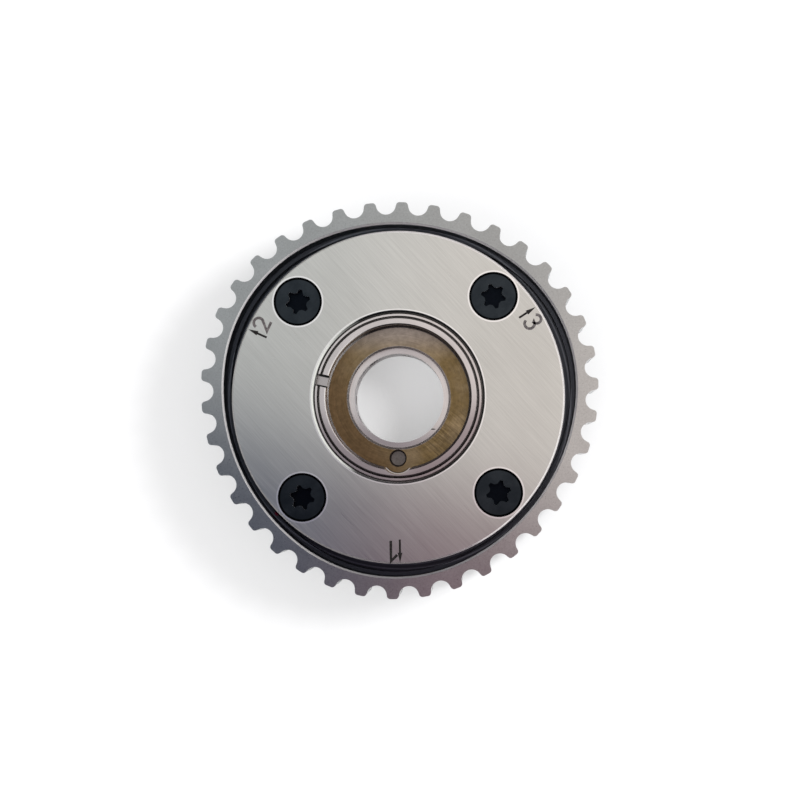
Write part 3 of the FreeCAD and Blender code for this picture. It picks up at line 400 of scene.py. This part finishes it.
class Paint:
    """A material with a Principled shader, and short calls that add nodes to it."""

    def __init__(self, name, colour, metallic=0.0, roughness=0.5):
        self.material = bpy.data.materials.new(name)
        self.material.use_nodes = True
        self.tree = self.material.node_tree
        self.shader = self.tree.nodes["Principled BSDF"]
        self.shader.inputs["Base Color"].default_value = (*colour, 1)
        self.shader.inputs["Metallic"].default_value = metallic
        self.shader.inputs["Roughness"].default_value = roughness
        self.place = self.node("ShaderNodeTexCoord").outputs["Object"]

    def node(self, kind, **settings):
        node = self.tree.nodes.new(kind)
        for name, value in settings.items():
            setattr(node, name, value)
        return node

    def join(self, source, socket):
        """Feed a socket from another socket, or set it to a value."""
        if isinstance(source, bpy.types.NodeSocket):
            self.tree.links.new(source, socket)
        else:
            socket.default_value = source

    def math(self, operation, first, second=0.0):
        node = self.node("ShaderNodeMath", operation=operation)
        self.join(first, node.inputs[0])
        self.join(second, node.inputs[1])
        return node.outputs[0]

    def product(self, value, *factors):
        for factor in factors:
            value = self.math("MULTIPLY", value, factor)
        return value

    def larger(self, first, second):
        return self.math("MAXIMUM", first, second)

    def opposite(self, share):
        return self.math("SUBTRACT", 1.0, share)

    def step(self, value, low, high, start=0.0, end=1.0):
        """A smooth step of a value, from start at low to end at high."""
        node = self.node("ShaderNodeMapRange", interpolation_type="SMOOTHSTEP")
        self.join(value, node.inputs["Value"])
        for socket, number in zip(node.inputs[1:5], (low, high, start, end)):
            socket.default_value = number
        return node.outputs["Result"]

    def mix(self, share, first, second, blend="MIX"):
        node = self.node("ShaderNodeMix", data_type="RGBA", blend_type=blend)
        self.join(share, node.inputs["Factor"])
        for source, socket in ((first, node.inputs[6]), (second, node.inputs[7])):
            if isinstance(source, tuple):
                source = (*source, 1)
            self.join(source, socket)
        return node.outputs[2]

    def grained(self, colour, *shades):
        """A colour made darker and lighter by one or more shades, each about one."""
        return self.mix(1.0, colour, self.product(*shades), "MULTIPLY")

    def axis(self, letter):
        node = self.node("ShaderNodeSeparateXYZ")
        self.join(self.place, node.inputs[0])
        return node.outputs[letter]

    def radius(self):
        """Distance from the cam axis."""
        flat = self.node("ShaderNodeVectorMath", operation="MULTIPLY")
        self.join(self.place, flat.inputs[0])
        flat.inputs[1].default_value = (1, 1, 0)
        length = self.node("ShaderNodeVectorMath", operation="LENGTH")
        self.join(flat.outputs[0], length.inputs[0])
        return length.outputs["Value"]

    def distance(self, centre, stretch=(1, 1, 1)):
        """Distance from a point, with each axis stretched."""
        moved = self.node("ShaderNodeVectorMath", operation="SUBTRACT")
        self.join(self.place, moved.inputs[0])
        moved.inputs[1].default_value = centre
        scaled = self.node("ShaderNodeVectorMath", operation="MULTIPLY")
        self.join(moved.outputs[0], scaled.inputs[0])
        scaled.inputs[1].default_value = stretch
        length = self.node("ShaderNodeVectorMath", operation="LENGTH")
        self.join(scaled.outputs[0], length.inputs[0])
        return length.outputs["Value"]

    def spot(self, degrees, radius, stretch=(1, 1, 0)):
        """Distance, seen along the axis, from a point at an angle and a radius."""
        return self.distance(tuple(direction(math.radians(degrees)) * radius), stretch)

    def screw_distance(self):
        """Distance from the axis of the nearest cover screw."""
        parts = self.node("ShaderNodeSeparateXYZ")
        self.join(self.turned(-SCREW_ANGLE, (1, 1, 1)), parts.inputs[0])
        first = self.math("ABSOLUTE", parts.outputs["X"])
        second = self.math("ABSOLUTE", parts.outputs["Y"])
        out = self.math("SUBTRACT", self.larger(first, second), SCREW_CIRCLE)
        side = self.math("MINIMUM", first, second)
        square = self.math("ADD", self.product(out, out), self.product(side, side))
        return self.math("SQRT", square)

    def towards(self, degrees, low, high):
        """A smooth step between two distances, in mm, out from the axis in one direction."""
        along = self.node("ShaderNodeVectorMath", operation="DOT_PRODUCT")
        self.join(self.place, along.inputs[0])
        along.inputs[1].default_value = direction(math.radians(degrees))
        return self.step(along.outputs["Value"], low * MM, high * MM)

    def under(self, face, low, high):
        """A smooth step between two depths, in mm, under a level."""
        return self.step(self.axis("Z"), face - low * MM, face - high * MM)

    def band(self, value, low, high, soft=0.05 * MM):
        """One between two limits, and zero outside them."""
        return self.product(self.step(value, low - soft, low + soft),
                            self.step(value, high + soft, high - soft))

    def noise(self, scale, detail, rough, source=None):
        node = self.node("ShaderNodeTexNoise")
        self.join(source or self.place, node.inputs["Vector"])
        node.inputs["Scale"].default_value = scale
        node.inputs["Detail"].default_value = detail
        node.inputs["Roughness"].default_value = rough
        return node.outputs[0]

    def turned(self, angle, scale):
        """The place turned about Z and then stretched, for grain that runs one way."""
        turn = self.node("ShaderNodeMapping")
        self.join(self.place, turn.inputs["Vector"])
        turn.inputs["Rotation"].default_value = (0, 0, angle)
        stretch = self.node("ShaderNodeMapping")
        self.join(turn.outputs[0], stretch.inputs["Vector"])
        stretch.inputs["Scale"].default_value = scale
        return stretch.outputs[0]

    def rings(self, radial_scale, around_scale, along_scale):
        """A place made of radius, angle and level, for grain that runs round the axis."""
        parts = self.node("ShaderNodeSeparateXYZ")
        self.join(self.place, parts.inputs[0])
        angle = self.math("ARCTAN2", parts.outputs["Y"], parts.outputs["X"])
        join = self.node("ShaderNodeCombineXYZ")
        self.join(self.product(self.radius(), radial_scale), join.inputs[0])
        self.join(self.product(angle, around_scale), join.inputs[1])
        self.join(self.product(parts.outputs["Z"], along_scale), join.inputs[2])
        return join.outputs[0]

    def colour(self, source):
        self.join(source, self.shader.inputs["Base Color"])

    def roughness(self, source):
        self.join(source, self.shader.inputs["Roughness"])

    def bump(self, height, strength, distance):
        node = self.node("ShaderNodeBump")
        node.inputs["Strength"].default_value = strength
        node.inputs["Distance"].default_value = distance
        self.join(height, node.inputs["Height"])
        self.join(node.outputs[0], self.shader.inputs["Normal"])


def ground_cover():
    """Ground steel with fine diagonal lines, painted highlights beside its openings and on its outer edge,
    painted shade in the hub's gap.
    """
    paint = Paint("ground_cover", GROUND_STEEL, metallic=1.0, roughness=0.3)
    fine = paint.noise(1.0, 3.0, 0.6, paint.turned(math.radians(48), (90, 6500, 90)))
    broad = paint.noise(1.0, 3.0, 0.6, paint.turned(math.radians(43), (60, 1600, 60)))
    cloud = paint.noise(38, 3.0, 0.5)
    shade = paint.step(cloud, 0.3, 0.7, 0.96, 1.03)
    lines = paint.step(fine, 0.3, 0.7, 0.94, 1.05)
    bands = paint.step(broad, 0.3, 0.7, 0.97, 1.03)
    base = paint.grained(GROUND_STEEL, shade, lines, bands)
    radius = paint.radius()
    face = paint.under(FRONT_FACE, 0.03, 0.01)
    below_face = paint.opposite(face)

    # Painted highlight: near-white rings round the bore and the screw holes, where their chamfers catch the
    # light
    rings = paint.larger(paint.band(radius, *BORE_RING), paint.band(paint.screw_distance(), *HOLE_RING))
    base = paint.mix(paint.product(face, rings, 0.95), base, PAINTED_HIGHLIGHT_STEEL)
    # Painted shade: near black low in the bore's chamfer, and a painted shadow line in the gap towards the
    # upper right
    gap = paint.product(paint.under(FRONT_FACE, 0.35, 0.55),
                        paint.step(radius, BORE_RING[0], BORE_RING[0] - 0.1 * MM))
    line = paint.product(below_face, paint.band(radius, *GAP_LINE, soft=0.04 * MM),
                         paint.towards(30, -12, 0))
    base = paint.mix(paint.product(paint.larger(gap, line), 0.95), base, GAP_PAINTED_SHADE)
    # Painted highlight: the plate's outer edge made bright towards the right
    edge = paint.product(paint.step(radius, *PLATE_EDGE), paint.towards(15, -10, 15))
    paint.colour(paint.mix(edge, base, PAINTED_HIGHLIGHT_STEEL))

    smoother = paint.product(below_face, -0.16)
    paint.roughness(paint.math("ADD", paint.step(broad, 0.2, 0.8, 0.27, 0.34), smoother))
    paint.bump(fine, 0.05, 0.01 * MM)
    return paint.material


def sintered_wheel():
    """Satin sintered steel with painted light and shade: paler towards the lower right, a painted highlight
    on the groove's machined edge, painted shade down in the groove with two painted highlight bands.
    """
    paint = Paint("sintered_wheel", SINTERED_STEEL, metallic=1.0, roughness=0.32)
    grain = paint.noise(2600, 4.0, 0.7)
    cloud = paint.noise(60, 3.0, 0.5)
    radius = paint.radius()
    # Painted light and shade: the wheel paler towards the lower right and darker towards the upper left
    base = paint.mix(paint.towards(322, 0, 42), SINTERED_SHADED_SIDE, SINTERED_LIT_SIDE)
    shades = (paint.step(grain, 0.25, 0.75, 0.88, 1.1), paint.step(cloud, 0.3, 0.7, 0.95, 1.04))
    base = paint.grained(base, *shades)

    # The groove's machined edge, painted near white as a highlight
    inside = paint.step(radius, RIM_EDGE_RADIUS, RIM_EDGE_RADIUS - 0.1 * MM)
    edge = paint.product(inside, paint.under(RIM_FRONT, 0.01, 0.05))
    base = paint.mix(edge, base, MACHINED_EDGE_HIGHLIGHT)
    # Painted shade: dark down in the groove, where little light reaches
    groove = paint.product(inside, paint.under(RIM_FRONT, 0.45, 0.6))
    base = paint.mix(groove, base, GROOVE_PAINTED_SHADE)
    # Painted highlights: two pale bands in the groove's shade, where its wall and floor fillet catch light
    for low, high in GROOVE_HIGHLIGHT_BANDS:
        band = paint.product(groove, paint.band(radius, low, high, soft=0.12 * MM))
        base = paint.mix(paint.product(band, 0.8), base, GROOVE_PAINTED_HIGHLIGHT)
    dab = paint.step(paint.spot(DAB_ANGLE, DAB_RADIUS), *DAB_EDGE)
    paint.colour(paint.mix(paint.product(groove, dab), base, RED_PAINT))

    rougher = paint.product(edge, 0.15)
    paint.roughness(paint.math("ADD", paint.step(grain, 0.2, 0.8, 0.26, 0.38), rougher))
    paint.bump(grain, 0.15, 0.03 * MM)
    return paint.material


def recess_stain(paint, turned, cloud):
    """The brown stain of the recess: paler at the top, redder at the left, lined at the lower right."""
    speck = paint.noise(900, 4.0, 0.7)
    streak = paint.noise(1.0, 3.0, 0.6, paint.turned(math.radians(40), (160, 1900, 160)))
    stain = paint.mix(paint.step(cloud, 0.35, 0.65), STAIN_DARK, STAIN_PALE)
    # The stain paler towards the top of the recess
    stain = paint.mix(paint.towards(90, 9, 17), stain, STAIN_PALER_TOP)
    stain = paint.mix(paint.towards(205, 2, 14), stain, STAIN_REDDISH)
    shades = (paint.step(speck, 0.25, 0.75, 0.8, 1.15), paint.step(turned, 0.3, 0.7, 0.85, 1.12))
    stain = paint.grained(stain, *shades)
    lined = paint.grained(stain, paint.step(streak, 0.35, 0.65, 0.7, 1.35))
    return paint.mix(paint.step(paint.distance(LINED_SPOT), *LINED_REACH), stain, lined)


def relief_arcs(paint, stain):
    """A dark arc and a pale one at the outer end of the relief round the dowel hole."""
    reach = paint.spot(RELIEF_ANGLE, RELIEF_CENTRE)
    outer_end = paint.towards(RELIEF_ANGLE, 16.8, 17.2)
    dark_arc = paint.product(outer_end, paint.band(reach, *RELIEF_DARK_ARC))
    pale_arc = paint.product(outer_end, paint.band(reach, *RELIEF_PALE_ARC))
    stain = paint.mix(paint.product(dark_arc, 0.8), stain, RELIEF_DARK)
    return paint.mix(paint.product(pale_arc, 0.9), stain, RELIEF_PALE)


def hub_metal(paint, turned, cloud):
    """The bright turned metal, with painted shade towards the lower right and lower left, and on the recess's
    wall.
    """
    shades = (paint.step(turned, 0.3, 0.7, 0.9, 1.06), paint.step(cloud, 0.3, 0.7, 0.95, 1.03))
    metal = paint.grained(TURNED_STEEL, *shades)
    # Painted shade: the hub darker towards the lower right and the lower left
    lower_right = paint.towards(312, 10.5, 17.5)
    lower_left = paint.product(paint.towards(235, 11.5, 18.5), 0.8)
    metal = paint.mix(paint.larger(lower_right, lower_left), metal, TURNED_STEEL_SHADED)
    wall = paint.product(paint.band(paint.axis("Z"), RECESS_FLOOR + 0.1 * MM, NOSE_TOP - 0.1 * MM),
                         paint.band(paint.radius(), *RECESS_WALL), paint.towards(40, -9, 6))
    return paint.mix(paint.product(wall, 0.9), metal, WALL_SHADE)


def bore_ledge(paint, base):
    """The ledge round the bore, with painted shade at the bottom and the top, and painted shade in a small
    notch.
    """
    within = paint.step(paint.radius(), BORE_EDGE_RADIUS - 0.2 * MM, BORE_EDGE_RADIUS - 0.4 * MM)
    ledge = paint.product(paint.band(paint.axis("Z"), LEDGE_LEVEL - 0.8 * MM, LEDGE_LEVEL + 0.2 * MM), within)
    shade = paint.larger(paint.product(paint.towards(262, 3, 11.5), 0.75),
                         paint.product(paint.towards(85, 6, 11.5), 0.4))
    base = paint.mix(paint.product(ledge, shade), base, LEDGE_SHADE)
    # Painted shade: near black in the small notch on the ledge
    notch = paint.spot(NOTCH_ANGLE, NOTCH_RADIUS, NOTCH_STRETCH)
    return paint.mix(paint.product(ledge, paint.step(notch, *NOTCH_EDGE)), base, NOTCH_PAINTED_SHADE)


def ring_slot(paint, base):
    """The slot in the hub's ring: painted shade on its floor, with a painted shadow line along each side."""
    floor = paint.product(paint.band(paint.axis("Z"), SLOT_FLOOR - 0.2 * MM, SLOT_FLOOR + 0.2 * MM),
                          paint.step(paint.radius(), *SLOT_START))
    across = paint.node("ShaderNodeSeparateXYZ")
    paint.join(paint.turned(-math.radians(SLOT_ANGLE), (1, 1, 1)), across.inputs[0])
    # Painted shadow: a near-black line along each side of the slot's floor
    side = paint.step(paint.math("ABSOLUTE", across.outputs["Y"]), *SLOT_LINE)
    base = paint.mix(paint.product(floor, 0.5), base, SLOT_SHADE)
    return paint.mix(paint.product(floor, side), base, SLOT_SIDE_SHADE)


def rotor_steel():
    """Turned steel, bright on the hub's ring and stained brown in the recess."""
    paint = Paint("rotor_steel", TURNED_STEEL, metallic=1.0, roughness=0.3)
    turned = paint.noise(1.0, 4.0, 0.6, paint.rings(2600, 1.5, 2600))
    cloud = paint.noise(120, 5.0, 0.65)
    stain = relief_arcs(paint, recess_stain(paint, turned, cloud))
    recess = paint.band(paint.axis("Z"), RECESS_FLOOR - 0.1 * MM, RECESS_FLOOR + 0.06 * MM, soft=0.02 * MM)
    outside = paint.step(paint.radius(), BORE_EDGE_RADIUS - 0.1 * MM, BORE_EDGE_RADIUS + 0.1 * MM)
    recess = paint.product(recess, outside)
    base = paint.mix(recess, hub_metal(paint, turned, cloud), stain)
    paint.colour(ring_slot(paint, bore_ledge(paint, base)))

    faces = paint.larger(recess, paint.under(NOSE_TOP, 0.03, 0.01))
    smoother = paint.product(paint.opposite(faces), 0.1)
    paint.roughness(paint.math("SUBTRACT", paint.step(turned, 0.2, 0.8, 0.25, 0.4), smoother))
    paint.bump(turned, 0.12, 0.02 * MM)
    return paint.material


def turned_rear():
    """Turned steel for the rear plate."""
    paint = Paint("turned_rear", REAR_STEEL, metallic=1.0, roughness=0.35)
    turned = paint.noise(1.0, 4.0, 0.6, paint.rings(2200, 1.2, 2200))
    cloud = paint.noise(50, 4.0, 0.6)
    shades = (paint.step(turned, 0.3, 0.7, 0.86, 1.1), paint.step(cloud, 0.3, 0.7, 0.93, 1.05))
    paint.colour(paint.grained(REAR_STEEL_TURNED, *shades))
    paint.roughness(paint.step(turned, 0.2, 0.8, 0.28, 0.45))
    paint.bump(turned, 0.15, 0.02 * MM)
    return paint.material


def black_screw():
    """Black coated steel, with painted shade on the head's rim and in the socket, and bare steel at the
    socket's mouth painted bright as a glint.
    """
    paint = Paint("black_screw", SCREW_BLACK, metallic=1.0, roughness=0.35)
    grain = paint.noise(1800, 4.0, 0.6)
    cloud = paint.noise(300, 3.0, 0.5)
    coat = paint.mix(paint.step(cloud, 0.3, 0.7), COAT_DARK, COAT_PALE)
    distance = paint.screw_distance()
    near_top = paint.product(paint.under(SCREW_TOP, 0.01, 0.04), paint.under(SCREW_TOP, 1.6, 0.8))
    rim = paint.product(near_top, paint.step(distance, *SCREW_RIM))
    mouth = paint.product(near_top, paint.step(distance, *SOCKET_MOUTH))
    # Painted shade: near black on the head's rim and deep in the socket
    coat = paint.mix(rim, coat, SCREW_RIM_SHADE)
    coat = paint.mix(paint.under(SCREW_TOP, 1.4, 1.8), coat, SOCKET_SHADE)
    # Painted glint: bare, bright steel at the socket's mouth
    paint.colour(paint.mix(paint.product(mouth, 0.9), coat, SOCKET_GLINT_STEEL))
    paint.roughness(paint.step(grain, 0.2, 0.8, 0.3, 0.5))
    paint.bump(grain, 0.2, 0.03 * MM)
    return paint.material


def pin_steel():
    """Dark hardened steel."""
    paint = Paint("pin_steel", PIN_STEEL, metallic=1.0, roughness=0.35)
    grain = paint.noise(1500, 4.0, 0.6)
    paint.colour(paint.mix(paint.step(grain, 0.3, 0.7), PIN_DARK, PIN_PALE))
    paint.roughness(paint.step(grain, 0.2, 0.8, 0.28, 0.45))
    paint.bump(grain, 0.1, 0.02 * MM)
    return paint.material


def seal_plastic():
    """Brown plastic of the seals."""
    paint = Paint("seal_plastic", SEAL_BROWN, roughness=0.55)
    grain = paint.noise(900, 4.0, 0.6)
    paint.colour(paint.mix(paint.step(grain, 0.3, 0.7), SEAL_DARK, SEAL_PALE))
    paint.bump(grain, 0.1, 0.03 * MM)
    return paint.material


def spring_steel():
    """Bare steel of the springs."""
    paint = Paint("spring_steel", SPRING_STEEL, metallic=1.0, roughness=0.25)
    grain = paint.noise(1200, 3.0, 0.5)
    paint.roughness(paint.step(grain, 0.2, 0.8, 0.2, 0.35))
    paint.bump(grain, 0.08, 0.02 * MM)
    return paint.material


def etched_mark():
    """The dark, slightly rough surface of an etched or inked mark."""
    paint = Paint("etched_mark", INK, roughness=0.8)
    paint.shader.inputs["Specular IOR Level"].default_value = INK_SPECULAR
    grain = paint.noise(2500, 4.0, 0.7)
    paint.colour(paint.mix(paint.step(grain, 0.35, 0.75), INK_DARK, INK_PALE))
    paint.bump(grain, 0.2, 0.02 * MM)
    return paint.material


def etched_numeral():
    """A paler mark than the arrows, with the steel showing through."""
    paint = Paint("etched_numeral", PALE_INK, roughness=0.8)
    paint.shader.inputs["Specular IOR Level"].default_value = INK_SPECULAR
    grain = paint.noise(2200, 4.0, 0.7)
    paint.colour(paint.mix(paint.step(grain, 0.3, 0.7), PALE_INK_DARK, PALE_INK_PALE))
    paint.bump(grain, 0.25, 0.02 * MM)
    return paint.material


def dress_nodes():
    """Give every CAD node the material of its slot."""
    makers = {
        "ground_cover": ground_cover,
        "sintered_wheel": sintered_wheel,
        "rotor_steel": rotor_steel,
        "turned_rear": turned_rear,
        "black_screw": black_screw,
        "pin_steel": pin_steel,
        "seal_plastic": seal_plastic,
        "spring_steel": spring_steel,
    }
    materials = {name: maker() for name, maker in makers.items()}
    for row in frame["record"]["subparts"]:
        mesh = NODES[row["node"]].data
        mesh.materials.clear()
        mesh.materials.append(materials[row["material_slot"]])


# Timing marks on the cover plate: an arrow and a numeral each

# For each mark: the numeral, the arrow's angle in degrees, its tail and tip, and the numeral's left
# edge beside the arrow, its foot and its height, all lengths in millimetres
MARKS = (
    (1, 271.5, 34.2, 39.8, 0.42, 34.45, 5.15),
    (2, 156.3, 34.7, 39.6, 1.1, 35.0, 4.4),
    (3, 33.7, 34.7, 39.4, 1.2, 34.7, 4.7),
)
MARK_LIFT = 0.004 * MM
MARK_HEIGHT = 0.012 * MM
ARROW_HEAD_LENGTH = 2.45 * MM
ARROW_HALF_HEAD = 0.56 * MM
ARROW_HALF_SHAFT = 0.25 * MM
NUMERAL_STROKE = 0.66 * MM
MITRE_LIMIT = 0.45


def arc_points(centre, radius, start, end, count):
    """Points along an arc, between two angles in degrees."""
    points = []
    for index in range(count + 1):
        angle = math.radians(start + (end - start) * index / count)
        points.append((centre[0] + radius * math.cos(angle), centre[1] + radius * math.sin(angle)))
    return points


def numeral_strokes(digit):
    """The centre lines of a numeral, in a cell 0.64 wide and 1 high."""
    if digit == 1:
        return [[(0.05, 0.66), (0.34, 0.95), (0.34, 0.0)]]
    if digit == 2:
        bowl = arc_points((0.3, 0.67), 0.27, 170, -28, 10)
        return [bowl + [(0.06, 0.06), (0.62, 0.06)]]
    upper = arc_points((0.29, 0.715), 0.225, 160, -80, 9)
    lower = arc_points((0.29, 0.28), 0.255, 88, -165, 10)
    return [upper + lower]


def stroke_mesh(mesh, strokes, half_width):
    """Flat bands along centre lines, mitred at their corners."""
    for line in strokes:
        points = [Vector(point) for point in line]
        left, right = [], []
        for index, point in enumerate(points):
            before = points[max(index - 1, 0)]
            after = points[min(index + 1, len(points) - 1)]
            first = (point - before).normalized() if index else (after - point).normalized()
            last = (after - point).normalized() if index < len(points) - 1 else first
            along = (first + last).normalized()
            side = Vector((-along.y, along.x)) * half_width / max(along.dot(first), MITRE_LIMIT)
            left.append(mesh.verts.new((*(point + side), 0)))
            right.append(mesh.verts.new((*(point - side), 0)))
        for index in range(len(points) - 1):
            mesh.faces.new((right[index], right[index + 1], left[index + 1], left[index]))


def raise_faces(mesh, height):
    """Give flat faces a small thickness."""
    result = bmesh.ops.extrude_face_region(mesh, geom=mesh.faces[:])
    top = [item for item in result["geom"] if isinstance(item, bmesh.types.BMVert)]
    bmesh.ops.translate(mesh, verts=top, vec=(0, 0, height))
    bmesh.ops.recalc_face_normals(mesh, faces=mesh.faces[:])


def add_piece(name, mesh, material, body):
    """Turn a drawn mesh into a piece of its own that rides on a body."""
    data = bpy.data.meshes.new(name)
    mesh.to_mesh(data)
    mesh.free()
    data.materials.append(material)
    piece = bpy.data.objects.new(name, data)
    SCENE.collection.objects.link(piece)
    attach(piece, body)


def place_mark(mesh, angle):
    """Turn a mark drawn with its top along +Y so that its top points outwards at an angle."""
    turn = Matrix.Rotation(math.radians(angle) - math.pi / 2, 4, "Z")
    lift = Matrix.Translation((0, 0, FRONT_FACE + MARK_LIFT))
    bmesh.ops.transform(mesh, matrix=lift @ turn, verts=mesh.verts[:])


def arrow_mesh(tail, tip):
    """A flat arrow along +Y, from its tail to its tip."""
    mesh = bmesh.new()
    neck = tip - ARROW_HEAD_LENGTH
    outline = [
        (-ARROW_HALF_SHAFT, tail),
        (ARROW_HALF_SHAFT, tail),
        (ARROW_HALF_SHAFT, neck),
        (ARROW_HALF_HEAD, neck),
        (0.0, tip),
        (-ARROW_HALF_HEAD, neck),
        (-ARROW_HALF_SHAFT, neck),
    ]
    mesh.faces.new([mesh.verts.new((x, y, 0)) for x, y in outline])
    return mesh


def build_marks():
    """The three arrows and their numerals; the 1 is as dark as the arrows, the 2 and 3 are paler."""
    dark = etched_mark()
    pale = etched_numeral()
    for digit, angle, tail, tip, left, foot, height in MARKS:
        arrow = arrow_mesh(tail * MM, tip * MM)
        raise_faces(arrow, MARK_HEIGHT)
        place_mark(arrow, angle)
        add_piece("timing_arrow_" + str(digit), arrow, dark, "wheel")
        numeral = bmesh.new()
        tall = height * MM
        stroke_mesh(numeral, numeral_strokes(digit), NUMERAL_STROKE / 2 / tall)
        raise_faces(numeral, MARK_HEIGHT / tall)
        corner = Matrix.Translation((left * MM, foot * MM, 0))
        bmesh.ops.transform(numeral, matrix=corner @ Matrix.Scale(tall, 4), verts=numeral.verts[:])
        place_mark(numeral, angle)
        ink = dark if digit == 1 else pale
        add_piece("timing_numeral_" + str(digit), numeral, ink, "wheel")


build_camera()
build_world()
build_floor()
build_cards()
build_lights()
dress_nodes()
build_marks()

SCENE.view_settings.view_transform = "Standard"
